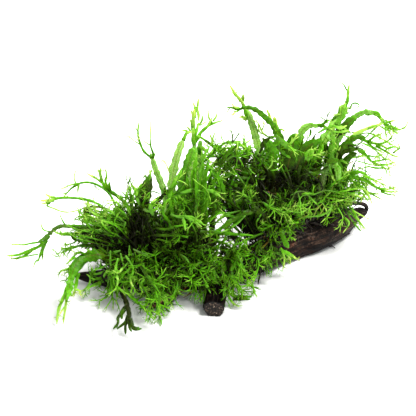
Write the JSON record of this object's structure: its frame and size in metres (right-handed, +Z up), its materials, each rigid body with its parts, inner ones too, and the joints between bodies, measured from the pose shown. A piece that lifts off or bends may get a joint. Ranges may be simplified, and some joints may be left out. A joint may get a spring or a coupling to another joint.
{
  "type": "java fern on driftwood",
  "caption": "Water fern with strap-shaped fronds that fork into fine lace tips, growing in two crowns along a branching piece of dark driftwood that lies flat.",
  "frame": {"origin": "middle of the flat worn foot under the driftwood's trunk, on the floor", "axes": "+Z up, +X along the trunk towards its broken pointed end, +Y towards the back, away from the sawn front stub"},
  "size_m": [0.3124, 0.1443, 0.1286],
  "materials": {
    "bark": "matte",
    "creeping_stem": "satin",
    "frond": "satin",
    "small_fronds": "satin"
  },
  "bodies": {
    "root": {"driftwood_trunk": "bark", "driftwood_left_limb": "bark", "driftwood_front_stub": "bark", "driftwood_lower_spur": "bark", "driftwood_end_splinter": "bark", "creeping_stem_left": "creeping_stem", "creeping_stem_right": "creeping_stem", "left_frond_1": "frond", "left_frond_2": "frond", "left_frond_3": "frond", "left_frond_4": "frond", "left_frond_5": "frond", "left_frond_6": "frond", "left_frond_7": "frond", "left_frond_8": "frond", "middle_frond_1": "frond", "middle_frond_2": "frond", "middle_frond_3": "frond", "middle_frond_4": "frond", "middle_frond_5": "frond", "middle_frond_6": "frond", "bridge_frond_1": "frond", "bridge_frond_2": "frond", "right_frond_1": "frond", "right_frond_2": "frond", "right_frond_3": "frond", "right_frond_4": "frond", "right_frond_5": "frond", "right_frond_6": "frond", "right_frond_7": "frond", "right_frond_8": "frond", "right_frond_9": "frond", "right_frond_10": "frond", "right_frond_11": "frond", "right_frond_12": "frond", "right_frond_13": "frond", "right_frond_14": "frond", "right_frond_15": "frond", "right_frond_16": "frond", "front_frond_1": "frond", "front_frond_2": "frond", "back_frond_1": "frond", "back_frond_2": "frond", "back_frond_3": "frond", "back_frond_4": "frond", "back_frond_5": "frond", "small_fronds_left_end": "small_fronds", "small_fronds_left_upper": "small_fronds", "small_fronds_left_low": "small_fronds", "small_fronds_left_front": "small_fronds", "small_fronds_middle_front": "small_fronds", "small_fronds_by_the_stub": "small_fronds", "small_fronds_trunk_front": "small_fronds", "small_fronds_trunk_top": "small_fronds", "small_fronds_right_end": "small_fronds", "small_fronds_right_upper": "small_fronds", "small_fronds_between_crowns": "small_fronds", "small_fronds_middle_top": "small_fronds", "small_fronds_left_top": "small_fronds", "small_fronds_left_back": "small_fronds"}
  },
  "joints": []
}
